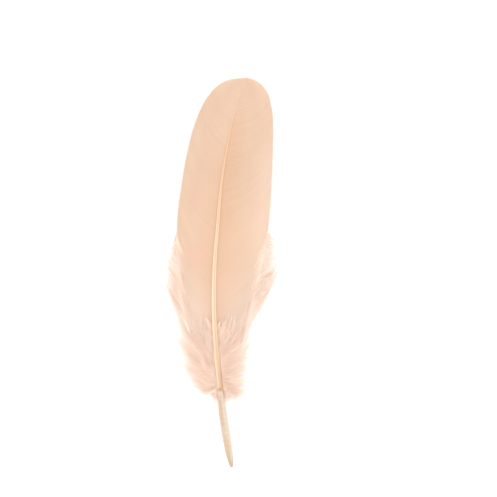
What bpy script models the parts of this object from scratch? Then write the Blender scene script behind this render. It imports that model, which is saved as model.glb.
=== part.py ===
"""A goose quill feather lying on a flat surface with its underside up.

One solid, grown as one piece: a tapering shaft, a vane on each side of it, and locks of down round its base.
The frame is in metres. +Y runs along the feather from the quill's end to the tip, +X is across it, +Z is up,
and the origin is on the surface, under the middle of the feather's box.
"""

import math
import random
from dataclasses import dataclass

import bmesh
import bpy
from mathutils import Vector

MM = 0.001

# ---- Driving dimensions, in millimetres. "Along" is the distance from the quill's end, along the feather.

LENGTH = 180.0

# Pairs of a place along the feather and a value there, which a smooth curve joins.
SHAFT_SWAY = (  # how far to the right the shaft's middle lies
    (0, 3.5), (13, 1.3), (22, -0.15), (30, -1.15), (38, -2.0), (46, -2.85), (57, -3.85), (70, -4.55),
    (80, -4.75), (96, -4.25), (110, -3.1), (124, -1.95), (133, -1.0), (160, 3.9), (172, 7.2), (180, 10.6),
)
SHAFT_WIDTH = (
    (0, 1.3), (2, 2.2), (6, 3.3), (14, 3.8), (23, 3.8), (31, 3.4), (42, 3.25),
    (51, 3.0), (60, 2.6), (70, 2.3), (96, 1.95), (124, 1.6), (140, 1.1), (160, 0.75), (180, 0.4),
)
SHAFT_DEPTH = (
    (0, 1.2), (2, 2.1), (6, 3.2), (14, 3.7), (31, 3.3), (42, 3.2),
    (54, 2.7), (77, 2.3), (105, 1.7), (133, 1.2), (160, 0.8), (180, 0.45),
)
SHAFT_GAP = ((0, 0.0), (40, 0.0), (57, 0.9), (110, 0.9), (180, 0.4))  # under the shaft, before the bend
GROOVE_DEPTH = ((0, 0.0), (38, 0.0), (48, 0.3), (90, 0.28), (140, 0.1), (165, 0.0), (180, 0.0))
GROOVE_NARROWNESS = 8  # a higher power draws the groove in to the middle of the shaft's upper side

BEND_START = 96.0  # from here to the tip the feather curves up off the surface
BEND_RISE = 8.6
BEND_POWER = 1.9

# The vanes' outline, as places to the right and along, from the vane's foot to the tip.
LEFT_EDGE = (
    (-14.4, 60.5), (-16.2, 67), (-18.5, 77.4), (-20.2, 89), (-21.6, 100), (-21.8, 112), (-19.4, 133),
    (-15.6, 152), (-12.6, 161.5), (-8.4, 170), (-2.6, 176.6), (3.4, 179.2), (10.4, 179.8),
)
RIGHT_EDGE = (
    (7.4, 62.5), (8.9, 73), (11.0, 86), (14.6, 96), (18.5, 105), (20.9, 114.5), (22.2, 133),
    (22.9, 158), (20.9, 171.5), (17.2, 176.8), (13.4, 178.7), (11.2, 179.3),
)
VANE_ROOTS = (46.0, 179.3)  # where the first and the last barb leave the shaft
ROOT_CROWDING = 1.22  # over 1 sweeps the barbs forward
BARB_BOW = 0.10  # how far a barb bows back from a straight line, as a part of its length
VANE_THICKNESS = 0.5
VANE_SEAT = 0.3  # the part of the shaft's depth at which the vanes join it
VANE_SAG = 2.55  # how far each vane sags beside the shaft
FULL_SAG_WIDTH = 30.0  # barbs shorter than this sag less
EDGE_CURL = 0.27  # how far an edge curls up, as a part of the vane's width there
CURL_POWER = 2.4

LOCK_FLATNESS = 0.55  # a lock's thickness, as a part of its width
LOCK_SWELL = ((0.0, 0.5), (0.4, 1.0), (0.75, 0.7), (1.0, 0.14))  # its width on the way to its tip
LOCK_SCATTER = 0.8  # how far a tip may stray from its fan's line
LOCK_LIFT_SCATTER = 0.48  # and how far up or down
LOCK_WIDTH_SPREAD = (0.85, 1.1)  # the range of a lock's width, as a part of its fan's


@dataclass(frozen=True)
class Fan:
    """Locks that leave the shaft or a vane side by side, with their tips along a line."""

    count: int
    seat: float  # where they leave: 0 is the shaft, -1 the left vane's edge and 1 the right vane's
    roots: tuple  # the first and the last lock's place: along the shaft, or v on a vane
    tips: tuple  # points that the tips follow, as right, along and up
    width: float
    bow: float  # how far a lock bows towards the quill's end, as a part of its length
    crest: float  # how far its middle stands over the straight line to its tip


FANS = (
    Fan(  # loose barbs of the right vane's foot
        11, 0.55, (0.0, 0.34),
        (
            (13.5, 74, 1.4), (18, 82, 1.8), (23, 89, 2.4),
            (27.4, 96, 3.4), (25.2, 102, 4.2), (21.0, 108, 4.8),
        ),
        3.0, 0.12, -0.1,
    ),
    Fan(  # loose barbs of the left vane's foot
        11, -0.6, (0.0, 0.30),
        (
            (-18.6, 66, 1.2), (-22.6, 74, 1.6), (-26.0, 82, 2.2),
            (-26.8, 92, 3.0), (-25.2, 101, 4.0), (-23, 108, 4.6),
        ),
        2.8, 0.10, -0.1,
    ),
    Fan(  # down on the left of the shaft's foot
        10, 0.0, (38, 51),
        ((-14.5, 34, 1.4), (-19.6, 40, 2.6), (-21.6, 48, 1.6), (-20.6, 57, 2.8), (-18, 64, 1.6)),
        3.6, 0.10, 1.2,
    ),
    Fan(  # down on the right of it
        9, 0.0, (38, 52),
        ((8.6, 33, 1.4), (11.8, 38, 2.4), (12.8, 47, 1.6), (12.6, 57, 2.8), (13.0, 67, 1.6)),
        3.6, 0.10, 1.2,
    ),
    Fan(  # the short skirt of down where the bare quill starts
        7, 0.0, (37, 42),
        ((-10.5, 32, 1.4), (-6.5, 30, 2.2), (-3.5, 29.5, 3.6), (2.0, 29.8, 2.4), (6.0, 31, 1.3)),
        3.0, -0.06, 0.8,
    ),
    Fan(  # the afterfeather: a tuft that stands over the vanes' foot
        10, 0.0, (38, 43),
        ((-13.0, 62, 5.4), (-10, 68, 5.0), (-4.6, 64, 5.2), (1.4, 67, 5.0), (8.0, 69, 5.6), (10.6, 62, 5.8)),
        3.2, 0.06, 1.4,
    ),
)

# ---- How finely the solids are drawn

SHAFT_SIDES = 12
SHAFT_STATIONS = 38
VANE_ROWS = 26
VANE_COLUMNS = 14
LOCK_SIDES = 6
LOCK_STATIONS = 5
SEED = 1

KERATIN_COLOUR = (0.86, 0.62, 0.44, 1.0)
KERATIN_ROUGHNESS = 0.6


class SmoothCurve:
    """A smooth curve through pairs of a place and a value, which doesn't swing past the values of a pair."""

    def __init__(self, pairs):
        """Keep the pairs and find the curve's slope at each."""
        self.places = [pair[0] for pair in pairs]
        self.values = [pair[1] for pair in pairs]
        steps = [
            (self.values[i + 1] - self.values[i]) / (self.places[i + 1] - self.places[i])
            for i in range(len(pairs) - 1)
        ]
        inner = [2 * a * b / (a + b) if a * b > 0 else 0.0 for a, b in zip(steps, steps[1:])]
        self.slopes = [steps[0], *inner, steps[-1]]

    def __call__(self, place):
        """The curve's value at a place, which is held between the first and the last place."""
        place = min(max(place, self.places[0]), self.places[-1])
        i = max(i for i in range(len(self.places) - 1) if place >= self.places[i])
        span = self.places[i + 1] - self.places[i]
        t = (place - self.places[i]) / span
        before = (1 + 2 * t) * (1 - t) ** 2 * self.values[i] + t * (1 - t) ** 2 * span * self.slopes[i]
        after = t * t * (3 - 2 * t) * self.values[i + 1] - t * t * (1 - t) * span * self.slopes[i + 1]
        return before + after


class Line:
    """A smooth line through points, read by the part of its length that lies behind, from 0 to 1."""

    def __init__(self, points):
        """Measure the way through the points and draw one curve over it for each axis."""
        run = [0.0]
        for a, b in zip(points, points[1:]):
            run.append(run[-1] + math.dist(a, b))
        self.axes = [
            SmoothCurve([(r / run[-1], point[axis]) for r, point in zip(run, points)])
            for axis in range(len(points[0]))
        ]

    def __call__(self, part):
        """The line's point at a part of its length."""
        return Vector([curve(part) for curve in self.axes])


shaft_sway = SmoothCurve(SHAFT_SWAY)
shaft_width = SmoothCurve(SHAFT_WIDTH)
shaft_depth = SmoothCurve(SHAFT_DEPTH)
shaft_gap = SmoothCurve(SHAFT_GAP)
groove_depth = SmoothCurve(GROOVE_DEPTH)
lock_swell = SmoothCurve(LOCK_SWELL)
left_edge = Line(LEFT_EDGE)
right_edge = Line(RIGHT_EDGE)


def in_frame(point):
    """A point of the frame in metres, from millimetres to the right, from the quill's end, and up."""
    return Vector((point[0], point[1] - LENGTH / 2, point[2])) * MM


def bend(along):
    """How far the feather's curve lifts it off the surface."""
    past = max(along - BEND_START, 0.0) / (LENGTH - BEND_START)
    return BEND_RISE * past**BEND_POWER


def shaft_middle(along):
    """The middle of the shaft's section."""
    up = bend(along) + shaft_gap(along) + shaft_depth(along) / 2
    return Vector((shaft_sway(along), along, up))


def shaft_point(part, angle):
    """A point of the shaft's skin, with a shallow groove along its upper side inside the vanes."""
    along = LENGTH * part
    right = math.cos(angle) * shaft_width(along) / 2
    up = math.sin(angle) * shaft_depth(along) / 2
    up -= groove_depth(along) * max(math.sin(angle), 0.0) ** GROOVE_NARROWNESS
    return shaft_middle(along) + Vector((right, 0.0, up))


def vane_point(v, u):
    """A point of the vanes' middle surface.

    v runs from the vanes' foot, 0, to the tip, 1. u runs from the left edge, -1, over the shaft, 0, to the
    right edge, 1. A line of one v is a barb on each side.
    """
    root_along = VANE_ROOTS[0] + (VANE_ROOTS[1] - VANE_ROOTS[0]) * v**ROOT_CROWDING
    root = Vector((shaft_sway(root_along), root_along))
    chord = (left_edge(v) if u < 0 else right_edge(v)) - root
    t = abs(u)
    side = math.copysign(1.0, u)
    backward = Vector((chord.y, -chord.x)) * side * BARB_BOW
    flat = root + chord * t + backward * 4 * t * (1 - t)
    seat = shaft_gap(root_along) + shaft_depth(root_along) * VANE_SEAT
    sag = VANE_SAG * min(chord.length / FULL_SAG_WIDTH, 1.0) * 4 * t * (1 - t) ** 2
    curl = EDGE_CURL * abs(chord.x) * t**CURL_POWER
    return Vector((flat.x, flat.y, bend(flat.y) + seat - sag + curl))


def lock_paths():
    """The root, the middle's pull and the tip of each lock, with its width, fan by fan."""
    rng = random.Random(SEED)
    for fan in FANS:
        tip_line = Line(fan.tips)
        for i in range(fan.count):
            part = i / (fan.count - 1)
            place = fan.roots[0] + (fan.roots[1] - fan.roots[0]) * part
            root = vane_point(place, fan.seat) if fan.seat else shaft_middle(place)
            tip = tip_line(part)
            sideways, forward = (rng.uniform(-LOCK_SCATTER, LOCK_SCATTER) for _ in range(2))
            tip += Vector((sideways, forward, rng.uniform(-LOCK_LIFT_SCATTER, LOCK_LIFT_SCATTER)))
            chord = tip - root
            backward = Vector((chord.y, -chord.x, 0.0)) * math.copysign(fan.bow, chord.x)
            pull = (root + tip) / 2 + 2 * (backward + Vector((0.0, 0.0, fan.crest)))
            yield root, pull, tip, fan.width * rng.uniform(*LOCK_WIDTH_SPREAD)


def lock_point(root, pull, tip, width, part, angle):
    """A point of a lock's skin: a flattened round section on a bowed line from its root to its tip."""
    middle = root * (1 - part) ** 2 + pull * 2 * part * (1 - part) + tip * part**2
    ahead = (pull - root) * (1 - part) + (tip - pull) * part
    across = Vector((ahead.y, -ahead.x, 0.0)).normalized()
    reach = width / 2 * lock_swell(part)
    return middle + across * math.cos(angle) * reach + Vector((0, 0, math.sin(angle) * reach * LOCK_FLATNESS))


def tube(name, sides, stations, place):
    """A closed solid whose skin point at a part of its length and an angle is place(part, angle)."""
    bm = bmesh.new()
    bmesh.ops.create_cone(bm, cap_ends=True, segments=sides, radius1=1, radius2=1, depth=1)
    rulings = [edge for edge in bm.edges if abs(edge.verts[0].co.z - edge.verts[1].co.z) > 0.5]
    bmesh.ops.subdivide_edges(bm, edges=rulings, cuts=stations - 2, use_grid_fill=True)
    for vert in bm.verts:
        vert.co = in_frame(place(vert.co.z + 0.5, math.atan2(vert.co.y, vert.co.x)))
    bmesh.ops.recalc_face_normals(bm, faces=bm.faces)
    return add_object(name, bm)


def add_object(name, bm):
    """An object made from a bmesh, which is freed."""
    mesh = bpy.data.meshes.new(name)
    bm.to_mesh(mesh)
    bm.free()
    obj = bpy.data.objects.new(name, mesh)
    bpy.context.scene.collection.objects.link(obj)
    return obj


def make_vanes():
    """Both vanes as one thin curved sheet, which the shaft covers along the middle."""
    bm = bmesh.new()
    bmesh.ops.create_grid(bm, x_segments=VANE_COLUMNS, y_segments=VANE_ROWS, size=1)
    for vert in bm.verts:
        vert.co = in_frame(vane_point((vert.co.y + 1) / 2, vert.co.x))
    obj = add_object("vanes", bm)
    skin = obj.modifiers.new("thickness", "SOLIDIFY")
    skin.thickness = VANE_THICKNESS * MM
    skin.offset = 0.0
    return obj


def make_locks():
    """Every lock of loose barbs and down, as solids of their own that the feather is joined from."""
    return [
        tube(
            f"lock_{n}", LOCK_SIDES, LOCK_STATIONS,
            lambda part, angle, path=path: lock_point(*path, part, angle),
        )
        for n, path in enumerate(lock_paths())
    ]


def islands(faces):
    """The sets of faces that hang together."""
    left = set(faces)
    while left:
        island = set()
        front = [left.pop()]
        while front:
            face = front.pop()
            island.add(face)
            fresh = {other for edge in face.edges for other in edge.link_faces} & left
            left -= fresh
            front.extend(fresh)
        yield island


def grow_together(name, body, pieces):
    """One solid of a body and all that grows on it, with the hollows shut in between them filled."""
    grown = bpy.data.collections.new("grown_on")
    for piece in pieces:
        grown.objects.link(piece)
    union = body.modifiers.new("grown_on", "BOOLEAN")
    union.operation = "UNION"
    union.solver = "EXACT"
    union.operand_type = "COLLECTION"
    union.collection = grown
    bm = bmesh.new()
    bm.from_object(body, bpy.context.evaluated_depsgraph_get())
    skin = max(islands(bm.faces), key=len)
    bmesh.ops.delete(bm, geom=[face for face in bm.faces if face not in skin], context="FACES")
    for obj in (body, *pieces):
        bpy.data.objects.remove(obj, do_unlink=True)
    bpy.data.collections.remove(grown)
    return add_object(name, bm)


def keratin():
    """The dyed horn of the whole feather."""
    material = bpy.data.materials.new("dyed_keratin")
    material.use_nodes = True
    shader = material.node_tree.nodes["Principled BSDF"]
    shader.inputs["Base Color"].default_value = KERATIN_COLOUR
    shader.inputs["Roughness"].default_value = KERATIN_ROUGHNESS
    shader.inputs["Metallic"].default_value = 0.0
    return material


def main():
    """Build the feather in an emptied scene."""
    for obj in list(bpy.data.objects):
        bpy.data.objects.remove(obj, do_unlink=True)
    shaft = tube("shaft", SHAFT_SIDES, SHAFT_STATIONS, shaft_point)
    feather = grow_together("feather", make_vanes(), [shaft, *make_locks()])
    feather.data.materials.append(keratin())


main()
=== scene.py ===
"""Dresses one goose quill feather: a horn shaft, two zipped vanes, loose barbs and down, on a white table.

Every class holds the sizes of one part of the feather, in millimetres, and builds and dresses it. Meshes are
written in metres, in the frame of the solid that they stand for. "Along" is the way from the quill's end. On
a vane, v goes from its foot to the tip, and u from the shaft's middle to the vane's edge, both from 0 to 1.
"""

import logging
import math
from dataclasses import dataclass, field, replace
from enum import Enum

import bmesh
import bpy
import numpy as np
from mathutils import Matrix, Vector


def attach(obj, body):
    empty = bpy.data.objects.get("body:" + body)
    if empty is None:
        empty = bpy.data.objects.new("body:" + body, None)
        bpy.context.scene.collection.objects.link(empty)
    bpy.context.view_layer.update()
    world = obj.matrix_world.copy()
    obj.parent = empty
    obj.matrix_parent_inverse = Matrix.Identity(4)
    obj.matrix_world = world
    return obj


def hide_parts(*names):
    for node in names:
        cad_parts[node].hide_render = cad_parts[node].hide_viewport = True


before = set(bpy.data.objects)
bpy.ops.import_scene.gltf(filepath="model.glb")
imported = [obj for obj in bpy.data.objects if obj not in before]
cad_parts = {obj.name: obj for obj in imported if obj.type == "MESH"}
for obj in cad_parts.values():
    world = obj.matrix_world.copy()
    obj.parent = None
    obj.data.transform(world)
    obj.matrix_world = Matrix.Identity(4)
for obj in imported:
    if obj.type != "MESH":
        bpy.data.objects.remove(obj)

MM = 0.001
BODY = "root"
NODE = "feather"
BAKE_MAP = "OFBake"
UP = np.array([0.0, 0.0, 1.0])
PICTURE_PIXELS = 497
MM_PER_PIXEL = 0.462
FIRST_SEED = 100  # of the tufts, each of which has the next one
SCAR_AT = 35.9  # along, the small pit in the shaft where the down ends
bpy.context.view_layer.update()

Pairs = tuple[tuple[float, ...], ...]
Pair = tuple[float, float]
Triple = tuple[float, float, float]
Colour = Triple
Array = np.ndarray
Piece = bpy.types.Object

log = logging.getLogger("feather")


@dataclass(frozen=True)
class SmoothCurve:
    """A smooth curve through pairs of a place and a value, which doesn't swing past the pairs' values."""

    pairs: Pairs

    def __call__(self, place: Array) -> Array:
        """Read the curve.

        Args:
            place: places, held between the first and the last pair's.

        Returns:
            The curve's value at each place.
        """
        places, values = np.array(self.pairs, float).T
        steps = np.diff(values) / np.diff(places)
        same_way = steps[:-1] * steps[1:] > 0
        total = np.where(same_way, steps[:-1] + steps[1:], 1.0)
        inner = np.where(same_way, 2 * steps[:-1] * steps[1:] / total, 0.0)
        slopes = np.concatenate([steps[:1], inner, steps[-1:]])
        place = np.clip(place, places[0], places[-1])
        i = np.clip(np.searchsorted(places, place, side="right") - 1, 0, len(places) - 2)
        span = places[i + 1] - places[i]
        t = (place - places[i]) / span
        before = (1 + 2 * t) * (1 - t) ** 2 * values[i] + t * (1 - t) ** 2 * span * slopes[i]
        after = t * t * (3 - 2 * t) * values[i + 1] - t * t * (1 - t) * span * slopes[i + 1]
        return before + after


@dataclass(frozen=True)
class Line:
    """A smooth line through points."""

    points: Pairs

    def __call__(self, part: Array) -> Array:
        """Read the line.

        Args:
            part: the parts of its length that lie behind the wanted points, from 0 to 1.

        Returns:
            The points, on a new last axis.
        """
        points = np.array(self.points, float)
        run = np.concatenate([[0.0], np.cumsum(np.linalg.norm(np.diff(points, axis=0), axis=1))])
        curves = [SmoothCurve(tuple(zip(run / run[-1], column))) for column in points.T]
        return np.stack([curve(part) for curve in curves], axis=-1)


def smoothstep(value: Array, low: float, high: float) -> Array:
    """0 below low, 1 above high, and a smooth rise between them."""
    t = np.clip((value - low) / (high - low), 0.0, 1.0)
    return t * t * (3 - 2 * t)


def unit(vectors: Array) -> Array:
    """The vectors, each made one long."""
    return vectors / np.maximum(np.linalg.norm(vectors, axis=-1, keepdims=True), 1e-9)


def sideways(headings: Array) -> tuple[Array, Array]:
    """Two directions square to each unit heading: a level one to its left, and one that points upward."""
    across = unit(np.cross(UP, headings))
    return across, np.cross(headings, across)


class Side(Enum):
    """The side of the shaft, seen from above with the tip away from the viewer."""

    LEFT = -1
    RIGHT = 1


@dataclass(frozen=True)
class FeatherForm:
    """The feather's lie: where its shaft runs, how it is bent, and what the vanes' outline is."""

    length: float = 180.0
    sway: SmoothCurve = SmoothCurve((  # the shaft's middle, to the right
        (0, 3.5), (13, 1.3), (22, -0.15), (30, -1.15), (38, -2), (46, -2.85), (57, -3.85), (70, -4.55),
        (80, -4.75), (96, -4.25), (110, -3.1), (124, -1.95), (133, -1), (160, 3.9), (172, 7.2), (180, 10.6),
    ))
    width: SmoothCurve = SmoothCurve((  # the shaft's
        (0, 1.3), (2, 2.2), (6, 3.3), (14, 3.8), (23, 3.8), (31, 3.4), (42, 3.25),
        (51, 3), (60, 2.6), (70, 2.3), (96, 1.95), (124, 1.6), (140, 1.1), (160, 0.75), (180, 0.4),
    ))
    depth: SmoothCurve = SmoothCurve((  # the shaft's
        (0, 1.2), (2, 2.1), (6, 3.2), (14, 3.7), (31, 3.3), (42, 3.2),
        (54, 2.7), (77, 2.3), (105, 1.7), (133, 1.2), (160, 0.8), (180, 0.45),
    ))
    gap: SmoothCurve = SmoothCurve(((0, 0), (40, 0), (57, 0.9), (110, 0.9), (180, 0.4)))  # under the shaft
    groove: SmoothCurve = SmoothCurve((
        (0, 0), (38, 0), (48, 0.3), (90, 0.28), (140, 0.1), (165, 0), (180, 0),
    ))
    bend_start: float = 96.0
    bend_rise: float = 8.6
    bend_power: float = 1.9
    left_edge: Line = Line((
        (-15, 60), (-17, 67), (-19.2, 77.4), (-20.7, 89), (-21.7, 100), (-21.8, 112), (-19.4, 133),
        (-15.6, 152), (-12.6, 161.5), (-8.4, 170), (-2.6, 176.6), (3.4, 179.2), (10.4, 179.85),
    ))
    right_edge: Line = Line((
        (9.6, 61.5), (12, 73), (14.4, 86), (17.2, 96), (19.4, 105), (20.9, 114.5), (22.2, 133),
        (22.9, 158), (20.9, 171.5), (17.2, 176.9), (13.4, 179.1), (10.9, 179.9),
    ))
    vane_roots: Pair = (46.0, 179.3)
    root_crowding: float = 1.22
    barb_bow: float = 0.10
    vane_seat: SmoothCurve = SmoothCurve(((46, 0.4), (90, 0.5), (140, 0.6), (180, 0.75)))  # over the depth
    vane_sag: SmoothCurve = SmoothCurve(((46, 2.3), (90, 2.3), (150, 1.1), (180, 0.6)))
    full_sag_width: float = 30.0
    edge_curl: float = 0.27
    curl_power: float = 2.4

    def bend(self, along: Array) -> Array:
        """How far the feather's curve lifts it off the surface."""
        past = np.maximum(along - self.bend_start, 0.0) / (self.length - self.bend_start)
        return self.bend_rise * past**self.bend_power

    def shaft_middle(self, along: Array) -> Array:
        """The middle of the shaft's section."""
        up = self.bend(along) + self.gap(along) + self.depth(along) / 2
        return np.stack([self.sway(along), np.asarray(along, float), up], axis=-1)

    def vane_point(self, side: Side, v: Array, u: Array) -> Array:
        """A point of a vane's middle surface.

        Args:
            side: the vane.
            v: from the vane's foot to the tip. One v is one barb.
            u: from the shaft's middle to the vane's edge.

        Returns:
            The points, with their three places on the last axis.
        """
        v, u = np.broadcast_arrays(np.asarray(v, float), np.asarray(u, float))
        first, last = self.vane_roots
        along = first + (last - first) * np.clip(v, 0, None) ** self.root_crowding
        root = np.stack([self.sway(along), along], axis=-1)
        edge = self.left_edge if side is Side.LEFT else self.right_edge
        chord = edge(v) - root
        reach = np.linalg.norm(chord, axis=-1)
        backward = np.stack([chord[..., 1], -chord[..., 0]], axis=-1) * side.value * self.barb_bow
        flat = root + chord * u[..., None] + backward * (4 * u * (1 - u))[..., None]
        seat = self.gap(along) + self.depth(along) * self.vane_seat(along)
        sag = self.vane_sag(along) * np.minimum(reach / self.full_sag_width, 1) * 4 * u * (1 - u) ** 2
        curl = self.edge_curl * np.abs(chord[..., 0]) * np.clip(u, 0, None) ** self.curl_power
        up = self.bend(flat[..., 1]) + seat - sag + curl
        return np.concatenate([flat, up[..., None]], axis=-1)


FORM = FeatherForm()
ORIGIN = np.array([0.0, FORM.length / 2, 0.0])  # the frame's, from the quill's end


def add_object(name: str, data: bpy.types.ID) -> Piece:
    """Put an object in the scene.

    Args:
        name: its name.
        data: its mesh, lamp or camera.

    Returns:
        The object.
    """
    obj = bpy.data.objects.new(name, data)
    bpy.context.scene.collection.objects.link(obj)
    return obj


@dataclass(frozen=True)
class Strand:
    """A straight strand from z = 0 to z = 1 with a round section of radius 1, to be laid along many lines."""

    sides: int
    rings: int
    pointed: bool = True

    def mesh(self) -> bpy.types.Mesh:
        """Make the strand.

        Returns:
            A closed mesh, drawn to a point at its far end if the strand is pointed.
        """
        bm = bmesh.new()
        bmesh.ops.create_cone(bm, cap_ends=True, segments=self.sides, radius1=1, radius2=1, depth=1)
        bmesh.ops.translate(bm, verts=bm.verts, vec=(0, 0, 0.5))
        rulings = [edge for edge in bm.edges if abs(edge.verts[0].co.z - edge.verts[1].co.z) > 0.5]
        if self.rings > 1:
            bmesh.ops.subdivide_edges(bm, edges=rulings, cuts=self.rings - 1, use_grid_fill=True)
        if self.pointed:
            end = [vert for vert in bm.verts if vert.co.z > 1 - 1e-4]
            bmesh.ops.pointmerge(bm, verts=end, merge_co=(0, 0, 1))
        mesh = bpy.data.meshes.new("strand")
        bm.to_mesh(mesh)
        bm.free()
        return mesh


def many(name: str, mesh: bpy.types.Mesh, count: int) -> tuple[Piece, Array]:
    """One object that holds a number of copies of a mesh.

    Args:
        name: the object's name.
        mesh: the mesh to copy, which is removed.
        count: how many copies.

    Returns:
        The object, and the places of one copy's vertices.
    """
    pattern = np.empty(len(mesh.vertices) * 3, np.float32)
    mesh.vertices.foreach_get("co", pattern)
    seed = add_object(name + "_seed", mesh)
    array = seed.modifiers.new("copies", "ARRAY")
    array.count = count
    array.use_relative_offset = False
    copies = bpy.data.meshes.new_from_object(seed.evaluated_get(bpy.context.evaluated_depsgraph_get()))
    bpy.data.objects.remove(seed, do_unlink=True)
    bpy.data.meshes.remove(mesh)
    copies.name = name
    return add_object(name, copies), pattern.reshape(-1, 3).astype(float)


def place_vertices(obj: Piece, points: Array) -> None:
    """Put an object's vertices at points in millimetres, given copy by copy."""
    obj.data.vertices.foreach_set("co", ((points.reshape(-1, 3) - ORIGIN) * MM).astype(np.float32).ravel())
    obj.data.update()


def note(obj: Piece, name: str, values: Array) -> None:
    """Keep three numbers with each vertex, as an attribute that the finish reads."""
    attribute = obj.data.attributes.new(name, "FLOAT_VECTOR", "POINT")
    attribute.data.foreach_set("vector", values.astype(np.float32).ravel())


def unroll(obj: Piece, places: Array) -> None:
    """Give a piece a map, on which faces that look alike share a place.

    Args:
        obj: the piece.
        places: one row of two numbers from 0 to 1 for each vertex, in any leading shape.
    """
    corners = np.empty(len(obj.data.loops), np.int32)
    obj.data.loops.foreach_get("vertex_index", corners)
    layer = obj.data.uv_layers.new(name=BAKE_MAP)
    layer.uv.foreach_set("vector", places.reshape(-1, 2)[corners].astype(np.float32).ravel())


def settle(obj: Piece, sharp_degrees: float = 60.0) -> None:
    """Shade a piece and hand it to the frame in place of the feather's solid.

    Args:
        obj: the piece.
        sharp_degrees: the angle from which an edge stays sharp.
    """
    obj.data.shade_smooth()
    obj.data.set_sharp_from_angle(angle=math.radians(sharp_degrees))
    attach(obj, BODY)
    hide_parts(NODE)
    log.info("%s: %d vertices, %d faces", obj.name, len(obj.data.vertices), len(obj.data.polygons))


@dataclass(frozen=True)
class Wire:
    """A node's output, which takes part in sums as a number would."""

    bench: "NodeBench"
    socket: bpy.types.NodeSocket

    def __add__(self, other: "Wire | float") -> "Wire":
        """This plus other."""
        return self.bench.maths("ADD", self, other)

    def __sub__(self, other: "Wire | float") -> "Wire":
        """This less other."""
        return self.bench.maths("SUBTRACT", self, other)

    def __rsub__(self, other: float) -> "Wire":
        """Other less this."""
        return self.bench.maths("SUBTRACT", other, self)

    def __mul__(self, other: "Wire | float") -> "Wire":
        """This times other."""
        return self.bench.maths("MULTIPLY", self, other)

    __radd__ = __add__
    __rmul__ = __mul__

    def rise(self, low: float, high: float, start: float = 0.0, end: float = 1.0) -> "Wire":
        """A smooth way from start to end as this goes from low to high, of which either may be the larger."""
        kind, settings = "ShaderNodeMapRange", {"interpolation_type": "SMOOTHSTEP"}
        return self.bench.node(kind, settings, in_0=self, in_1=low, in_2=high, in_3=start, in_4=end)


@dataclass
class NodeBench:
    """A new material, with short ways to add to its nodes."""

    name: str
    material: bpy.types.Material = field(init=False)

    def __post_init__(self) -> None:
        """Make the material."""
        self.material = bpy.data.materials.new(self.name)
        self.material.use_nodes = True

    def node(self, kind: str, settings: dict | None = None, output: int | str = 0, **sockets: object) -> Wire:
        """Add a node.

        Args:
            kind: the node's type.
            settings: its own properties, set before its sockets.
            output: the output that is wanted.
            sockets: values or wires, by input name with _ for a space, or by number as in_0.

        Returns:
            The wanted output.
        """
        made = self.material.node_tree.nodes.new(kind)
        for name, value in (settings or {}).items():
            setattr(made, name, value)
        for name, value in sockets.items():
            key = int(name[3:]) if name.startswith("in_") else name.replace("_", " ")
            self.feed(made.inputs[key], value)
        return Wire(self, made.outputs[output])

    def feed(self, socket: bpy.types.NodeSocket, value: object) -> None:
        """Feed a socket.

        Args:
            socket: the input.
            value: a wire, a number, a vector or a colour.
        """
        if isinstance(value, Wire):
            self.material.node_tree.links.new(value.socket, socket)
        elif isinstance(value, tuple) and socket.type == "RGBA":
            socket.default_value = (*value, 1.0)
        else:
            socket.default_value = value

    def finished(self, **sockets: object) -> bpy.types.Material:
        """Feed the material's own shader.

        Args:
            sockets: values or wires, by input name with _ for a space.

        Returns:
            The material.
        """
        shader = self.material.node_tree.nodes["Principled BSDF"]
        for name, value in sockets.items():
            self.feed(shader.inputs[name.replace("_", " ")], value)
        return self.material

    def maths(self, operation: str, first: Wire | float, second: Wire | float = 0.0) -> Wire:
        """A Math node."""
        return self.node("ShaderNodeMath", {"operation": operation}, in_0=first, in_1=second)

    def times(self, first: Wire, second: Wire | Triple) -> Wire:
        """A colour or vector times another one, or times one number's wire."""
        return self.node("ShaderNodeVectorMath", {"operation": "MULTIPLY"}, in_0=first, in_1=second)

    def layered(self, colour: Wire | Colour, *layers: tuple[Wire | Colour, Wire | float]) -> Wire:
        """Lay colours over a colour, one after the other.

        Args:
            colour: the lowest one.
            layers: each further colour, and the share of it that covers what lies below.

        Returns:
            The colour that is seen from above.
        """
        settings = {"data_type": "RGBA", "clamp_factor": True}
        for layer, share in layers:
            colour = self.node("ShaderNodeMix", settings, output=2, in_0=share, in_6=colour, in_7=layer)
        return colour

    def kept(self, name: str) -> tuple[Wire, Wire, Wire, Wire]:
        """An attribute of the piece, as a vector and as its three numbers."""
        vector = self.node("ShaderNodeAttribute", {"attribute_name": name}, output="Vector")
        return (vector, *(self.node("ShaderNodeSeparateXYZ", output=axis, in_0=vector) for axis in range(3)))

    def place(self) -> Wire:
        """Object coordinates."""
        return self.node("ShaderNodeTexCoord", output="Object")

    def noise(self, place: Wire, scale: float, detail: float = 2.0, roughness: float = 0.5) -> Wire:
        """Soft noise from 0 to 1."""
        return self.node("ShaderNodeTexNoise", Vector=place, Scale=scale, Detail=detail, Roughness=roughness)


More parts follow.
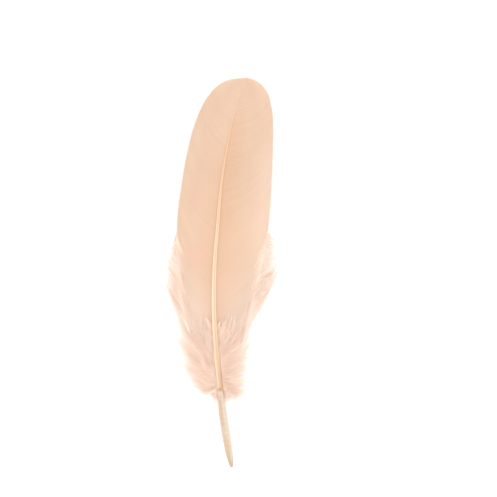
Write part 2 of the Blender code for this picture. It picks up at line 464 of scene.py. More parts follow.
@dataclass(frozen=True)
class VaneFinish:
    """Dyed barbs, zipped to a sheet: darker and oranger by the shaft as painted shade, pale at the edges as
    painted light, pinker towards the foot, with painted light at the foot's edges and over the shade under
    the down.
    """

    name: str
    # the darker, oranger colour beside the shaft towards the tip: painted shade in the trough there
    inner_shade_high: Colour
    inner_shade_end: float  # v where the colour beside the shaft has gone
    # pale colour at the vane's edges: painted light on the raised edges
    edge: Colour
    foot: Colour
    # lighter colour at the foot's edges: painted light that lifts the shadow of the loose barbs lying over
    # them
    foot_edge_light: Colour
    foot_start: float  # how much of the foot's colour there is beside the shaft
    blush_most: float  # how much dye the pinkest patches took
    # the same painted shade beside the shaft, towards the foot
    inner_shade_low: Colour = (0.629, 0.417, 0.288)
    middle: Colour = (0.638, 0.446, 0.322)
    # paler barbs at the vane's foot: partly its downy base, partly painted light that lifts the shade under
    # the down
    base: Colour = (0.86, 0.69, 0.585)
    blush: Colour = (0.658, 0.423, 0.32)
    far_shade: float = 0.05  # how much darker the vane is past its middle
    roughness: float = 0.6
    sheen: float = 0.25

    def material(self) -> bpy.types.Material:
        """Make the finish.

        Returns:
            A material that reads the attribute lie: u, v and a tone for each barb.
        """
        bench = NodeBench(self.name)
        vector, u, v, tone = bench.kept("lie")
        # painted shade beside the shaft, from the foot to the tip
        inner = bench.layered(self.inner_shade_low, (self.inner_shade_high, v.rise(0.4, 0.62)))
        # the foot's colour, with painted light at its edges
        foot = bench.layered(self.foot, (self.foot_edge_light, u.rise(0.55, 0.88)))
        patch = bench.noise(bench.place(), 75, 1)
        blush = patch.rise(0.47, 0.65, 0, self.blush_most) * v.rise(0.05, 0.2) * v.rise(0.8, 0.62)
        colour = bench.layered(
            self.middle,
            # painted shade beside the shaft
            (inner, u.rise(0.5, 0.1) * v.rise(self.inner_shade_end, self.inner_shade_end - 0.18)),
            # painted light on the raised edges
            (self.edge, u.rise(0.4, 0.9) * v.rise(0.9, 0.65, 0.1, 1)),
            (self.edge, u.rise(0.6, 0.95) * v.rise(0.8, 0.95, 0, 0.8)),
            (foot, v.rise(0.45, 0.08) * u.rise(0, 0.5, self.foot_start, 1)),
            # paler foot: partly the downy base, partly painted light over the shade under the down
            (self.base, v.rise(0.17, 0.05)),
            (self.blush, blush * u.rise(0.8, 0.5)),
        )
        cloud = bench.noise(bench.place(), 45)
        fleck = bench.noise(bench.times(vector, (6, 420, 0)), 1, 3)
        shade = 0.955 + tone * 0.035 + (cloud - 0.5) * 0.07 + (fleck - 0.5) * 0.05
        shade = shade - v.rise(0.4, 0.75, 0, self.far_shade)
        return bench.finished(
            Base_Color=bench.times(colour, shade),
            Roughness=self.roughness - 0.05 + fleck * 0.1,
            Normal=bench.node("ShaderNodeBump", Height=fleck, Distance=0.00008, Strength=0.5),
            Sheen_Weight=self.sheen,
            Specular_IOR_Level=0.25,
        )


# The two vanes differ partly in painted light, with the left foot and its edges lighter than the right's, and
# partly in dye, with pinker patches on the left.
LEFT_BARBS = VaneFinish(
    "left_barbs", inner_shade_high=(0.632, 0.422, 0.293), inner_shade_end=0.9, edge=(0.69, 0.505, 0.368),
    foot=(0.69, 0.54, 0.45), foot_edge_light=(0.835, 0.575, 0.455), foot_start=0.75, blush_most=0.5,
)
RIGHT_BARBS = VaneFinish(
    "right_barbs", inner_shade_high=(0.619, 0.404, 0.270), inner_shade_end=0.97, edge=(0.70, 0.515, 0.397),
    foot=(0.63, 0.49, 0.397), foot_edge_light=(0.66, 0.515, 0.42), foot_start=0.6, blush_most=0.2,
)


@dataclass(frozen=True)
class HornFinish:
    """The shaft's horn: cream gold inside the vanes, see-through tan at the bare quill, olive at its end.
    Painted light pales its flanks and the quill's left by the pit, and a painted highlight runs down the
    quill's right; painted shade darkens the groove, the rachis's right side, the right half by the pit and
    the pit itself.
    """

    name: str = "quill_horn"
    rachis: Colour = (0.71, 0.55, 0.39)
    rachis_near: Colour = (0.545, 0.35, 0.215)
    rachis_far: Colour = (0.64, 0.398, 0.24)
    rachis_tip: Colour = (0.61, 0.44, 0.33)
    # paler colour on the shaft's sides: painted light that lifts the shade beside the shaft and on the
    # quill's left by the pit
    flank_light: Colour = (0.80, 0.64, 0.49)
    # darker colour on the shaft's right half by the pit: painted shade on the side away from the light
    collar_shade: Colour = (0.53, 0.34, 0.20)
    # darker colour for the groove: painted shade in the rachis's groove and down its right side
    groove: Colour = (0.564, 0.367, 0.226)
    quill: Colour = (0.51, 0.374, 0.275)
    # lighter colour down the quill's right half: a painted highlight
    quill_highlight: Colour = (0.57, 0.462, 0.368)
    clear: Colour = (0.515, 0.42, 0.318)
    gold: Colour = (0.525, 0.37, 0.243)
    pith: Colour = (0.47, 0.32, 0.207)
    rim: Colour = (0.645, 0.56, 0.50)
    # dark colour in the sunk pit: painted shade inside the hole
    pit_shade: Colour = (0.395, 0.226, 0.10)
    tip: Colour = (0.43, 0.34, 0.232)
    quill_ends: float = 40.0
    cap_pitch: float = 2.6  # between the caps of dry pith that show through the quill

    def material(self) -> bpy.types.Material:
        """Make the finish.

        Returns:
            A material that reads the attribute skin: how far right and how far up a place faces, and along.
        """
        bench = NodeBench(self.name)
        vector, right, up, along = bench.kept("skin")
        grain = bench.noise(bench.times(vector, (9, 9, 0.1)), 1, 4, 0.6)
        blotch = bench.noise(bench.times(vector, (0.8, 0.8, 0.14)), 1, 2)
        aside = right * right  # 1 on both flanks
        above = up.rise(0.2, 0.6)
        groove = right.rise(-0.3, 0.05) * right.rise(0.6, 0.25) * above
        horn = bench.layered(
            self.rachis,
            (self.rachis_far, along.rise(75, 140)),
            (self.rachis_tip, along.rise(156, 167)),
            (self.rachis_near, along.rise(66, 40)),
            # painted shade in the groove
            (self.groove, groove * along.rise(150, 70) * 0.8),
            # painted shade down the rachis's right side
            (self.groove, right.rise(0.3, 0.6, 0, 0.4) * along.rise(90, 65)),
            # painted light on the rachis's flanks
            (self.flank_light, aside.rise(0.75, 1) * along.rise(120, 80)),
        )
        wander = right + (blotch - 0.5) * 0.4
        streak = wander.rise(-0.5, -0.25) * wander.rise(0.1, -0.1)
        core = wander.rise(0.5, 0.2)
        clear = along.rise(21, 18) * along.rise(12.5, 15, 0, 0.7)
        gold = along.rise(14.5, 12.5) * along.rise(5, 7.5, 0, 0.95)
        inside = bench.layered(
            self.quill,
            # painted highlight down the quill's right half
            (self.quill_highlight, wander.rise(-0.1, 0.4)),
            (self.pith, streak * blotch.rise(0.35, 0.6, 0.15, 0.75)),
            (self.clear, clear * core),
            (self.gold, gold * core),
        )
        caps = bench.maths("SINE", along * (2 * math.pi / self.cap_pitch) + blotch * 14 + right * 0.8)
        quill = bench.layered(
            bench.times(inside, 1 + caps.rise(0, 1, 0, 0.06) * along.rise(5, 9)),
            (self.rim, aside.rise(0.5, 0.95, 0, 0.7)),
            # painted light on the quill's flanks
            (self.flank_light, aside.rise(0.5, 0.9) * along.rise(25, 33)),
        )
        # where painted shade darkens the shaft's right half by the pit
        collar_shade = along.rise(34.5, 37) * along.rise(47, 41) * right.rise(-0.2, 0.3)
        # where painted light lifts the shade on the quill's left by the pit
        cream = along.rise(31, 34.5) * along.rise(58, 46) * right.rise(0, -0.5)
        end = (along + (grain - 0.5) * 4 + (blotch - 0.5) * 4).rise(6, 1)
        off = (along - SCAR_AT) * 0.9
        # where painted shade darkens the sunk pit
        pit_shade = (off * off + aside * 1.6).rise(1, 0.1) * above
        colour = bench.layered(
            horn,
            (quill, along.rise(self.quill_ends + 5, self.quill_ends - 6)),
            (self.collar_shade, collar_shade * aside.rise(0.9, 0.4)),
            # painted light on the quill's left by the pit
            (self.flank_light, cream * 0.55),
            (self.tip, end * aside.rise(0.9, 0.4, 0.3, 1)),
            (self.pit_shade, pit_shade * 0.85),
        )
        return bench.finished(
            Base_Color=bench.times(colour, 0.9 + grain * 0.2),
            Roughness=0.34 + grain * 0.16,
            Normal=bench.node("ShaderNodeBump", Height=grain, Distance=0.0001, Strength=0.6),
            Coat_Weight=0.25,
            Coat_Roughness=0.25,
        )


@dataclass(frozen=True)
class DownFinish:
    """Down and loose barbs: a paler, pinker dye than the vanes, with some locks darker and warmer, chosen at
    random.
    """

    name: str
    root: Colour
    end: Colour
    warm: Colour  # the darker, warmer locks, chosen at random
    roughness: float = 0.75

    def material(self) -> bpy.types.Material:
        """Make the finish.

        Returns:
            A material that reads the attribute lie: how far from the root, the place on the strand, and tone.
        """
        bench = NodeBench(self.name)
        _, run, _, tone = bench.kept("lie")
        cloud = bench.noise(bench.place(), 120)
        warmth = tone.rise(0.5, 0.1, 0, 0.7)
        colour = bench.layered(self.root, (self.end, run.rise(0.15, 1)), (self.warm, warmth))
        return bench.finished(
            Base_Color=bench.times(colour, 0.875 + tone * 0.22 + (cloud - 0.5) * 0.12),
            Roughness=self.roughness - 0.08 + cloud * 0.16,
            Sheen_Weight=1.0,
            Specular_IOR_Level=0.2,
        )


DOWN = DownFinish("down", root=(0.98, 0.76, 0.62), end=(0.98, 0.82, 0.715), warm=(0.94, 0.65, 0.475))
OUTER_DOWN = DownFinish("outer_down", root=DOWN.root, end=(0.925, 0.735, 0.615), warm=(0.92, 0.62, 0.45))
STRAY_DOWN = DownFinish(
    "stray_down", root=(0.96, 0.775, 0.645), end=(0.98, 0.845, 0.75), warm=(0.9, 0.63, 0.47)
)
LOOSE_BARBS = DownFinish(
    "loose_barbs", root=(0.785, 0.602, 0.5), end=(0.85, 0.665, 0.54), warm=(0.78, 0.545, 0.415)
)


@dataclass(frozen=True)
class Shaft:
    """The calamus and rachis: one horn rod, round and open at the quill's end, grooved between the vanes."""

    sides: int = 32
    rings: int = 300
    round_until: Pair = (40, 60)  # along, where the round quill turns into the squarer rachis
    squareness: float = 0.2  # how far the rachis's corners stand out, over its half width
    groove_power: int = 10  # the higher, the narrower the groove
    scar_length: float = 0.9
    scar_width: float = 0.35  # over the shaft's half width
    scar_depth: float = 0.45
    mouth: Pairs = ((0.22, 0.0), (0.02, 0.12), (0.04, 1.6))  # how far in and how deep each of its rims is set
    finish: HornFinish = HornFinish()

    def build(self) -> None:
        """Make and dress the shaft."""
        obj, pattern = many("shaft", Strand(self.sides, self.rings, pointed=False).mesh(), 1)
        angle = np.arctan2(pattern[:, 1], pattern[:, 0])
        along = FORM.length * pattern[:, 2]
        squareness = 1 + self.squareness * smoothstep(along, *self.round_until) * np.sin(2 * angle) ** 2
        right = np.cos(angle) * FORM.width(along) / 2 * squareness
        up = np.sin(angle) * FORM.depth(along) / 2 * squareness
        top = np.maximum(np.sin(angle), 0.0)
        up -= FORM.groove(along) * top**self.groove_power
        off = ((along - SCAR_AT) / self.scar_length) ** 2
        up -= self.scar_depth * (np.exp(-off - (np.cos(angle) / self.scar_width) ** 2) * (top > 0))
        points = FORM.shaft_middle(along) + np.stack([right, np.zeros_like(right), up], axis=-1)
        place_vertices(obj, points)
        note(obj, "skin", np.stack([np.cos(angle), np.sin(angle), along], axis=-1))
        self.open_mouth(obj)
        obj.data.materials.append(self.finish.material())
        settle(obj, 50.0)

    def open_mouth(self, obj: Piece) -> None:
        """Sink the small hole in the quill's end.

        Args:
            obj: the shaft.
        """
        bm = bmesh.new()
        bm.from_mesh(obj.data)
        caps = [face for face in bm.faces if len(face.verts) > 4]
        end = min(caps, key=lambda face: face.calc_center_median().y)
        for inset, sunk in self.mouth:
            bmesh.ops.inset_region(bm, faces=[end], thickness=inset * MM, depth=0.0)
            bmesh.ops.translate(bm, verts=end.verts, vec=(0.0, sunk * MM, 0.0))
        bmesh.ops.recalc_face_normals(bm, faces=bm.faces)
        bm.to_mesh(obj.data)
        bm.free()


@dataclass(frozen=True)
class Split:
    """A place where a vane has come unzipped at its edge."""

    v: float
    depth: float  # where the gap starts, as u
    opening: float  # the gap at the edge
    spread: float = 0.03  # how far along v the barbs beside it are pushed


@dataclass(frozen=True)
class Vane:
    """One vane: several hundred barbs, each a fine ridged strand that laps its neighbours."""

    side: Side
    splits: tuple[Split, ...]
    finish: VaneFinish
    seed: int
    barbs: int = 330
    rings: int = 22
    ring_crowding: float = 1.25  # over 1, a barb's rings are closer together towards its end
    lap: float = 1.3  # a barb's width over the space between two barbs
    ridge: float = 0.055  # half a barb's thickness
    shingle: float = 0.03  # how far a barb's upper edge rises over its neighbour
    unevenness: float = 0.02
    ripple: float = 0.1
    fray: float = 0.006  # how unequally long the barbs are
    foot_fray: float = 0.13  # what the foot adds to that, where the vane comes apart into loose barbs
    frayed_until: Pair = (0.22, 0.42)  # v
    zipped_from: float = 0.14  # v from which the barbs have their full width
    loose_until: Pair = (0.25, 0.42)  # v up to which the barbs draw to long thin ends
    end_starts: Pair = (0.955, 1.0)  # where a barb narrows, over its length
    loose_end_starts: Pair = (0.78, 0.97)
    finest: float = 0.06  # a barb's width at its end, over its full width
    edge_length: float = 134.0  # about what each vane's edge measures
    map_span: float = 1.15  # of u, which goes past 1 where the vane is frayed

    def build(self) -> None:
        """Make and dress the vane."""
        name = f"{self.side.name.lower()}_vane"
        obj, pattern = many(name, Strand(4, self.rings).mesh(), self.barbs)
        rng = np.random.default_rng(self.seed)
        step = 1.0 / self.barbs
        v = ((np.arange(self.barbs) + 0.5) * step)[:, None]
        fray = self.fray + self.foot_fray * (1 - smoothstep(v, *self.frayed_until))
        reach = 1 + rng.uniform(-0.6, 1.0, (self.barbs, 1)) * fray
        run = 1 - (1 - pattern[:, 2]) ** self.ring_crowding
        u = run[None, :] * reach
        zipped = 0.45 + 0.55 * smoothstep(v, 0.0, self.zipped_from)[..., None]
        across = self.lie(v + step / 2, u) - self.lie(v - step / 2, u)
        across = across * self.side.value * zipped * self.lap / 2
        outward = unit(self.lie(v, u + 0.01) - self.lie(v, u - 0.01))
        lift = unit(np.cross(outward, across))
        loose = (1 - smoothstep(v, *self.loose_until))[..., None]
        taper = 1 - smoothstep(run, *self.end_starts)[None, :, None] * 0.9
        taper = taper - loose * 0.6 * smoothstep(run, *self.loose_end_starts)[None, :, None]
        taper = np.maximum(taper, self.finest)
        wide, thick = pattern[None, :, :1], pattern[None, :, 1:2]
        points = self.lie(v, u) + across * wide * taper + lift * self.shingle * wide
        points = points + lift * thick * self.ridge * taper
        points[..., 2] += rng.uniform(-self.unevenness, self.unevenness, (self.barbs, 1))
        place_vertices(obj, points)
        tone = np.broadcast_to(rng.uniform(0, 1, (self.barbs, 1)), u.shape)
        note(obj, "lie", np.stack([u, np.broadcast_to(v, u.shape), tone], axis=-1))
        row = v + pattern[None, :, 0] * step * 0.45
        unroll(obj, np.stack([np.clip(u / self.map_span, 0, 1), row], axis=-1))
        obj.data.materials.append(self.finish.material())
        settle(obj)

    def lie(self, v: Array, u: Array) -> Array:
        """A point of this vane with its ripples and splits.

        Args:
            v: from the vane's foot to the tip.
            u: from the shaft's middle to the vane's edge.

        Returns:
            The points, with their three places on the last axis.
        """
        v, u = np.broadcast_arrays(v, u)
        pushed = v.copy()
        for split in self.splits:
            away = np.where(v > split.v, 1.0, -1.0) * np.exp(-np.abs(v - split.v) / split.spread)
            pushed = pushed + away * split.opening / 2 / self.edge_length * smoothstep(u, split.depth, 1.0)
        points = FORM.vane_point(self.side, np.clip(pushed, 0, 1), u)
        wave = np.sin(2 * np.pi * (5.3 * v + 0.6 * u) + self.seed)
        wave = wave + 0.7 * np.sin(2 * np.pi * (11.7 * v - 0.9 * u))
        points[..., 2] += self.ripple * wave * smoothstep(u, 0.1, 0.8)
        return points


VANES = (
    Vane(Side.LEFT, (Split(0.735, 0.8, 0.5), Split(0.47, 0.84, 0.5)), LEFT_BARBS, seed=3),
    Vane(Side.RIGHT, (Split(0.78, 0.8, 0.5), Split(0.43, 0.78, 0.8)), RIGHT_BARBS, seed=4),
)


@dataclass(frozen=True)
class Lines:
    """Bowed and slightly wavy lines, each from a root, past a lead and a pull, to a tip.

    bows holds each line's root, lead, pull and tip. waves holds an amplitude in millimetres and a phase,
    across and then up. sides says which side of the shaft a line keeps to, with 0 for one that may cross it.
    """

    bows: Array
    waves: Array
    sides: Array
    turns: float = 1.5
    shaft_room: float = 0.12

    def at(self, t: Array) -> Array:
        """Points on the lines.

        Args:
            t: (lines, n), how far along each.

        Returns:
            The points, (lines, n, 3).
        """
        root, lead, pull, tip = (self.bows[:, k, None, :] for k in range(4))
        s = t[..., None]
        points = (1 - s) ** 3 * root + 3 * s * (1 - s) ** 2 * lead + 3 * s * s * (1 - s) * pull + s**3 * tip
        chord = unit(tip - root)
        across = unit(np.cross(chord, UP))
        swing = np.sin(2 * np.pi * (self.turns * t + self.waves[:, 1:2])) * self.waves[:, 0:1] * t
        rise = np.sin(2 * np.pi * (self.turns * 0.8 * t + self.waves[:, 3:4])) * self.waves[:, 2:3] * t
        points = points + across * swing[..., None]
        points[..., 2] += rise
        side = self.sides[:, None]
        off = points[..., 0] - FORM.sway(points[..., 1])
        room = FORM.width(points[..., 1]) / 2 + self.shaft_room * (2 * smoothstep(t, 0.0, 0.25) - 1)
        kept = np.where(np.sign(off) != side, side * room, side * np.sqrt(off**2 + room**2))
        points[..., 0] += np.where(side != 0, kept - off, 0.0)
        return points

    def headings(self, t: Array) -> Array:
        """Unit headings on the lines, at the same places as their points."""
        return unit(self.at(np.minimum(t + 0.02, 1.0)) - self.at(np.maximum(t - 0.02, 0.0)))


@dataclass(frozen=True)
class Run:
    """The first stretch of lines that lie on a vane before they leave its edge, with a row for each line."""

    side: Side
    v: Array
    u: Array  # where each line starts
    share: Array  # the part of each line that lies on the vane
    lift: Array  # how far each line is off the vane's surface

    def at(self, t: Array) -> Array:
        """Points on the vane.

        Args:
            t: (lines, n), how far along each line. Past its share, it stays at the vane's edge.

        Returns:
            The points, (lines, n, 3).
        """
        part = np.clip(t / self.share, 0, 1)
        points = FORM.vane_point(self.side, self.v, self.u + (1 - self.u) * part)
        points[..., 2] += self.lift * smoothstep(part, 0.0, 0.6)
        return points


@dataclass(frozen=True)
class EdgeLines(Lines):
    """Lines that run over a vane to its edge, and are free from there on."""

    run: Run | None = None

    def at(self, t: Array) -> Array:
        """Points on the lines, for (lines, n) places along them."""
        free = super().at(np.clip((t - self.run.share) / (1 - self.run.share), 0, 1))
        return np.where((t < self.run.share)[..., None], self.run.at(t), free)


@dataclass(frozen=True)
class Fluff:
    """One kind of barbule on the barbs of a tuft."""

    each: int  # how many on each barb
    length: float  # about the longest
    rings: int = 1
    thickness: float = 0.012  # half of what it measures, as for barbs
    openness: Pair = (0.45, 1.0)  # the angle between a barbule and its barb
    lengths: Pair = (0.5, 1.05)  # over the longest
    flatness: float = 0.4  # its thickness over its width


def down_fluff(length: float) -> tuple[Fluff, ...]:
    """Down's barbules: a few bent ones, and many finer ones between them."""
    return Fluff(24, length, rings=2, thickness=0.014), Fluff(100, length * 0.9, thickness=0.010)


@dataclass
class Tuft:
    """Soft barbs that leave the shaft or a vane side by side, and carry barbules along both sides."""

    name: str
    seat: float  # u on the vane that they leave, under 0 for the left one, or 0 for the shaft
    roots: Pair  # v on the vane, or along the shaft
    tips: Pairs  # the line that the longest ones reach
    bow: float  # how far a barb bends backward, over its length
    crest: float  # how far its middle rises
    barbs: int
    fluff: tuple[Fluff, ...]
    seat_rise: float = 0.17  # how far above the shaft's middle the barbs start, over the shaft's depth
    bare: float = 0.015  # the part of each barb, from its root, that has no barbules
    clumps: int = 10
    clumping: float = 0.14  # how far each tip is drawn to the middle of its lock
    lock_stray: float = 0.4
    inward: float = 0.35  # how far in from its seat on a vane a barb may start, as u
    strays: float = 0.1  # the part of the barbs that reach out past the rest
    scatter: float = 1.2
    shortest: float = 0.55  # over the way to the line of tips
    wave: float = 0.7
    thickness: float = 0.055
    flatness: float = 1.0  # a barb's thickness over its width
    finish: DownFinish = DOWN
    seed: int = 0
    floor_gap: float = 0.06
    lowest_tip: float = 0.5
    tip_stray: float = 0.55
    longest: float = 1.02  # over the way to the line of tips
    stray_reach: Pair = (0.02, 0.16)  # what a stray barb adds to that
    bows: Pair = (0.5, 1.5)  # each barb's, over the bow, as the next three are over the crest and wave
    crests: Pair = (0.4, 1.3)
    swings: Pair = (0.3, 1.0)
    rises: Pair = (0.2, 0.7)
    lead_reach: float = 0.36  # how far a barb keeps a vane's direction past its edge, over its length
    last_barbule: float = 0.99  # over the barb's length
    narrowing: float = 0.75  # how much thinner a strand's end is than its root
    map_rows: int = 31
    map_span: float = 1.3  # of the run, which goes past 1 on the last barbules
    rng: np.random.Generator = field(init=False)

    def __post_init__(self) -> None:
        """Seed the tuft's random numbers."""
        self.rng = np.random.default_rng(self.seed)

    def build(self, finish: bpy.types.Material) -> None:
        """Make and dress the tuft.

        Args:
            finish: its material.
        """
        barbs = self.barb_lines()
        parts = [self.rami(barbs), *(self.ranks(barbs, kind) for kind in self.fluff)]
        with bpy.context.temp_override(active_object=parts[0], selected_editable_objects=parts):
            bpy.ops.object.join()
        parts[0].data.materials.append(finish)
        settle(parts[0], 80.0)

    def barb_lines(self) -> Lines:
        """Lay out the barbs: spread evenly over the tuft, and unequally long.

        Returns:
            The barbs' lines.
        """
        rng, count = self.rng, self.barbs
        part = (np.arange(count) + rng.uniform(0, 1, count)) / count
        tip = self.strewn_tips(part)
        place = self.roots[0] + (self.roots[1] - self.roots[0]) * part
        run = self.vane_run(place[:, None]) if self.seat else None
        root = run.at(np.ones((count, 1)))[:, 0] if run else FORM.shaft_middle(place)
        if not run:
            root[:, 2] += self.seat_rise * FORM.depth(place)
        reach = rng.uniform(self.shortest, self.longest, (count, 1))
        reach += rng.uniform(*self.stray_reach, reach.shape) * (rng.uniform(0, 1, reach.shape) < self.strays)
        tip = root + (tip - root) * reach
        chord = tip - root
        length = np.linalg.norm(chord, axis=-1, keepdims=True)
        bow = self.bow * rng.uniform(*self.bows, count) * np.sign(chord[:, 0])
        crest = self.crest * rng.uniform(*self.crests, count)
        backward = np.stack([chord[:, 1] * bow, -chord[:, 0] * bow, crest], axis=-1)
        lead = root + chord / 3 + backward * 4 / 3
        if run:
            onward = unit(root - run.at(run.share * 0.9)[:, 0]) * np.array([1.0, 1.0, 0.6])
            lead = root + onward * length * self.lead_reach
        pull = root + chord * 2 / 3 + backward * 4 / 3
        bows = np.stack([root, lead, pull, tip], axis=1)
        waves = np.stack([
            rng.uniform(*self.swings, count) * self.wave, rng.uniform(0, 1, count),
            rng.uniform(*self.rises, count) * self.wave, rng.uniform(0, 1, count),
        ], axis=-1)
        sides = np.where(tip[:, 0] > FORM.sway(tip[:, 1]), 1.0, -1.0)
        if run:
            on_vane = np.linalg.norm(root - run.at(np.zeros((count, 1)))[:, 0], axis=-1, keepdims=True)
            return EdgeLines(bows, waves, sides, run=replace(run, share=on_vane / (on_vane + length)))
        return Lines(bows, waves, sides)

    def strewn_tips(self, part: Array) -> Array:
        """Where the longest barbs would end: along the line of tips, gathered a little into locks.

        Args:
            part: each barb's place in the tuft, from 0 to 1.

        Returns:
            One point for each barb.
        """
        lock = np.floor(part * self.clumps)
        gathered = part + ((lock + 0.5) / self.clumps - part) * self.clumping
        together = self.rng.normal(0, self.lock_stray, (self.clumps + 1, 3))[lock.astype(int)]
        alone = self.rng.normal(0, self.tip_stray, (self.barbs, 3))
        tip = Line(self.tips)(gathered) + (alone + together) * self.scatter
        tip[:, 2] = np.maximum(tip[:, 2], self.lowest_tip)
        return tip

    def vane_run(self, place: Array) -> Run:
        """The stretch of the barbs that lies on the vane that they leave.

        Args:
            place: (lines, 1), v where each barb leaves it.

        Returns:
            The stretch, with a share of one half until the barbs' lengths are known.
        """
        side = Side.LEFT if self.seat < 0 else Side.RIGHT
        inward = self.rng.uniform(0, 1, place.shape) ** 1.5 * self.inward
        u = np.clip(abs(self.seat) - inward, 0.0, 0.97)
        return Run(side, place, u, np.full(place.shape, 0.5), self.rng.uniform(0.03, 0.16, place.shape))

    def lay(self, strand: Strand, lines: Lines, section: Pair, lie: Array) -> Piece:
        """Lay a tapering strand along each line, off the floor.

        Args:
            strand: the strand.
            lines: the lines.
            section: the strand's half width and half thickness at its root.
            lie: (lines, 3), for each line the run at its root, the run that it gains, and its tone.

        Returns:
            The strands as one object, which keeps the run, the place on the strand and the tone.
        """
        count = len(lines.bows)
        obj, pattern = many(self.name, strand.mesh(), count)
        t = np.broadcast_to(pattern[None, :, 2], (count, len(pattern)))
        points, heading = lines.at(t), lines.headings(t)
        across, lift = sideways(heading)
        taper = 1 - self.narrowing * t[..., None]
        if isinstance(lines, EdgeLines):
            taper = taper * (0.08 + 0.92 * smoothstep(t, 0.0, 0.4))[..., None]
        wide, thick = pattern[None, :, :1], pattern[None, :, 1:2]
        points = points + across * wide * section[0] * taper
        points = points + lift * thick * section[1] * taper
        points[..., 2] = np.maximum(points[..., 2], self.floor_gap + thick[..., 0] * 0.02)
        place_vertices(obj, points)
        run = lie[:, 0:1] + lie[:, 1:2] * t
        tone = np.broadcast_to(lie[:, 2:3], t.shape)
        note(obj, "lie", np.stack([run, t, tone], axis=-1))
        row = (np.floor(tone * self.map_rows) + 0.5 + 0.4 * pattern[None, :, 0]) / (self.map_rows + 1)
        unroll(obj, np.stack([run / self.map_span, row], axis=-1))
        return obj

    def tones(self) -> Array:
        """Choose tones that are alike within a lock.

        Returns:
            A tone from 0 to 1 for each barb.
        """
        lock = (np.arange(self.barbs) * self.clumps) // self.barbs
        shared = np.random.default_rng(self.seed).uniform(0, 1, self.clumps)[lock]
        return 0.6 * shared + self.rng.uniform(0, 0.4, len(lock))

    def rami(self, barbs: Lines) -> Piece:
        """Make the barbs' own stems.

        Args:
            barbs: the barbs' lines.

        Returns:
            The stems as one object.
        """
        count = len(barbs.bows)
        lie = np.stack([np.zeros(count), np.ones(count), self.tones()], axis=-1)
        strand = Strand(3 if self.flatness == 1 else 4, 12)
        return self.lay(strand, barbs, (self.thickness, self.thickness * self.flatness), lie)

    def ranks(self, barbs: Lines, kind: Fluff) -> Piece:
        """Make one kind of barbule, in a loose rank on both sides of each barb, bending towards its tip.

        Args:
            barbs: the barbs' lines.
            kind: the kind.

        Returns:
            The barbules as one object.
        """
        rng, shape = self.rng, (self.barbs, kind.each)
        free = (np.arange(kind.each)[None, :] + rng.uniform(0, 1, shape)) / kind.each
        bare = barbs.run.share if isinstance(barbs, EdgeLines) else self.bare
        t = bare + (self.last_barbule - bare) * free
        base, heading = barbs.at(t), barbs.headings(t)
        across, lift = sideways(heading)
        rank = np.where(np.arange(kind.each) % 2, 1.0, -1.0)[None, :, None]
        roll = rng.uniform(-1.0, 1.0, (*shape, 1))
        outward = across * rank * np.cos(roll) + lift * np.sin(roll)
        angle = rng.uniform(*kind.openness, (*shape, 1))
        swell = np.minimum(smoothstep(free, -0.3, 0.3), 1.0 - 0.55 * smoothstep(free, 0.6, 1.0))
        length = kind.length * (swell * rng.uniform(*kind.lengths, shape))[..., None]
        way = heading * np.cos(angle) + outward * np.sin(angle)
        pull = base + way * length * 0.5
        tip = base + way * length * 0.8 + heading * length * 0.25 + rng.normal(0, 0.1, base.shape) * length
        count = self.barbs * kind.each
        bows = np.stack([base, (base + 2 * pull) / 3, (tip + 2 * pull) / 3, tip], axis=2).reshape(count, 4, 3)
        lines = Lines(bows, np.zeros((count, 4)), np.repeat(barbs.sides, kind.each), shaft_room=0.04)
        tones = self.tones()[:, None] * 0.7 + rng.uniform(0, 0.3, shape)
        lie = np.stack([t, np.full(shape, 0.2), tones], axis=-1).reshape(count, 3)
        return self.lay(Strand(3, kind.rings), lines, (kind.thickness, kind.thickness * kind.flatness), lie)


LOOSE = Tuft(
    "right_loose_barbs", 0.96, (0.0, 0.38),
    ((24.2, 89.5, 2.2), (26.4, 94, 3), (26.8, 97.5, 3.6), (25.6, 101.5, 4.2), (22.6, 106, 4.7)),
    0.07, -0.1, barbs=260, fluff=(Fluff(46, 0.9, thickness=0.014, openness=(0.2, 0.6)),), clumps=9,
    clumping=0.32, scatter=0.9, strays=0.05, shortest=0.3, wave=0.4, thickness=0.16, flatness=0.3,
    finish=LOOSE_BARBS,
)
OUTER = Tuft(
    "left_down", 0.0, (37, 54),
    (
        (-10.5, 35.4, 1.2), (-15.5, 38, 2.2), (-20, 46, 1.6),
        (-22.5, 57, 2.6), (-24.6, 69, 2.4), (-23.8, 79, 3),
    ),
    0.10, 1.2, barbs=210, fluff=down_fluff(2.9), clumps=19, shortest=0.66, finish=OUTER_DOWN,
)
AFTERFEATHER = Tuft(
    "left_afterfeather", 0.0, (39, 60),
    ((-15, 60, 5), (-12.6, 66, 4.4), (-10, 70.5, 3.5), (-7.2, 70, 2.7)),
    0.08, 0.5, barbs=84, fluff=down_fluff(2.3), shortest=0.4,
)
QUILL_FUZZ = Tuft(
    "quill_fuzz", 0.0, (34, 41), ((-5.0, 31, 1.6), (-3.9, 29.2, 2.2), (1.0, 28.4, 2.2), (2.4, 30, 1.6)),
    0.02, 0.3, barbs=64, fluff=(Fluff(90, 1.2),), clumping=0.28, lock_stray=0.7, scatter=0.5, wave=0.25,
)
SHAFT_FUZZ = replace(
    QUILL_FUZZ, name="left_shaft_fuzz", roots=(40, 66), crest=0.4, barbs=84, seat_rise=0.3,
    tips=((-6, 47, 2.6), (-7.5, 56, 3), (-8.2, 64, 3.1), (-8.4, 70, 3)),
)
STRAY = Tuft(
    "left_stray_down", 0.0, (36, 54),
    ((-9.5, 34.5, 2.4), (-16, 38.5, 3), (-20.5, 48, 3.2), (-20.5, 60, 3.6), (-15, 68, 5.6), (-8, 67, 4)),
    0.12, 1.8, barbs=54, fluff=(Fluff(40, 1.4, rings=2),), clumping=0.0, lock_stray=1.4, scatter=1.8,
    shortest=0.45, wave=1.1, thickness=0.075, finish=STRAY_DOWN,
)
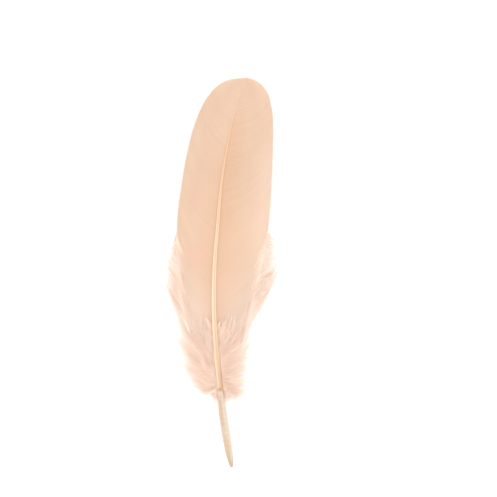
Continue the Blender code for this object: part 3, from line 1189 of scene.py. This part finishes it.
TUFTS = (
    LOOSE,
    replace(
        LOOSE, name="left_loose_barbs", seat=-0.96, roots=(0.0, 0.36),
        tips=((-25.2, 83.5, 2), (-26.8, 90, 2.8), (-26.8, 95.5, 3.4), (-25.4, 100.5, 4), (-23.2, 105, 4.5)),
    ),
    OUTER,
    replace(
        OUTER, name="right_down", barbs=190, fluff=down_fluff(2.8), clumps=18,
        tips=(
            (7.6, 31.5, 1.2), (11.2, 35, 2.2), (13.2, 43, 1.6),
            (13.4, 55, 2.6), (12.6, 67, 2.4), (15, 76, 3.4),
        ),
    ),
    Tuft(
        "skirt", 0.0, (34.5, 42),
        ((-14.5, 37, 1), (-10.5, 34.8, 1.6), (-5, 33, 3), (1.5, 30.2, 2.6), (7, 28.6, 1.6), (11.4, 31, 1)),
        -0.05, 0.8, barbs=96, fluff=down_fluff(2.2), clumping=0.1, finish=OUTER_DOWN,
    ),
    QUILL_FUZZ,
    AFTERFEATHER,
    replace(
        AFTERFEATHER, name="right_afterfeather", barbs=96, clumping=0.08,
        tips=((11.4, 61, 5.2), (8.4, 68, 4.6), (4.2, 71, 3.5), (0.8, 70, 3)),
    ),
    SHAFT_FUZZ,
    replace(
        SHAFT_FUZZ, name="right_shaft_fuzz",
        tips=((0.6, 47, 2.6), (-1, 55, 3), (-1.6, 61, 3.1), (-2.5, 68, 3)),
    ),
    STRAY,
    replace(
        STRAY, name="right_stray_down", barbs=48, scatter=1.6,
        tips=(
            (6.8, 31.5, 2.4), (10.5, 36, 3), (12.4, 46, 3.2),
            (12.4, 58, 3.6), (9.5, 67, 5.4), (3, 66, 4.2),
        ),
    ),
)


@dataclass(frozen=True)
class Studio:
    """A white table, a pale room, a soft lamp and a camera that looks straight down, sized in metres."""

    table_half: float = 4.0
    table_white: float = 0.95
    sky: float = 1.287
    lamp_place: Triple = (0.05, 0.35, 1.55)
    lamp_size: float = 1.3
    lamp_watts: float = 8.5
    lens: float = 200.0  # mm
    sensor: float = 36.0  # mm
    aim_height: float = 0.004
    origin_pixel: Pair = (224.0, 272.75)  # pixel over the frame's origin
    sight: float = 20.0  # how far the camera sees

    def build(self) -> None:
        """Set the stage."""
        self.table()
        world = bpy.data.worlds.new("room")
        world.use_nodes = True
        background = world.node_tree.nodes["Background"]
        background.inputs["Color"].default_value = (1.0, 1.0, 1.0, 1.0)
        background.inputs["Strength"].default_value = self.sky
        bpy.context.scene.world = world
        self.lamp()
        bpy.context.scene.view_settings.view_transform = "Standard"
        self.camera()

    def table(self) -> None:
        """The plain pale table."""
        bm = bmesh.new()
        bmesh.ops.create_grid(bm, x_segments=1, y_segments=1, size=self.table_half)
        mesh = bpy.data.meshes.new("table")
        bm.to_mesh(mesh)
        bm.free()
        white = (self.table_white,) * 3
        mesh.materials.append(NodeBench("table_white").finished(Base_Color=white, Roughness=0.9))
        table = add_object("table", mesh)

    def lamp(self) -> None:
        """The square lamp, which faces the feather."""
        data = bpy.data.lights.new("key", "AREA")
        data.size = self.lamp_size
        data.energy = self.lamp_watts
        lamp = add_object("key", data)
        lamp.location = self.lamp_place
        lamp.rotation_mode = "QUATERNION"
        lamp.rotation_quaternion = (-Vector(self.lamp_place)).to_track_quat("-Z", "Y")

    def camera(self) -> None:
        """The photograph's own view: straight down, with the quill's end at the foot of the picture."""
        data = bpy.data.cameras.new("camera")
        data.lens = self.lens
        data.sensor_width = self.sensor
        data.clip_end = self.sight
        camera = add_object("camera", data)
        right = (PICTURE_PIXELS / 2 - self.origin_pixel[0]) * MM_PER_PIXEL * MM
        ahead = (self.origin_pixel[1] - PICTURE_PIXELS / 2) * MM_PER_PIXEL * MM
        picture = PICTURE_PIXELS * MM_PER_PIXEL * MM
        camera.location = (right, ahead, self.aim_height + picture * self.lens / self.sensor)
        bpy.context.scene.camera = camera


def main() -> None:
    """Build the feather's pieces in order, then the studio."""
    logging.basicConfig(level=logging.INFO, format="%(name)s: %(message)s")
    Shaft().build()
    for vane in VANES:
        vane.build()
    finishes = {finish: finish.material() for finish in (DOWN, OUTER_DOWN, STRAY_DOWN, LOOSE_BARBS)}
    for n, tuft in enumerate(TUFTS):
        replace(tuft, seed=FIRST_SEED + n).build(finishes[tuft.finish])
    Studio().build()


if __name__ == "__main__":
    main()
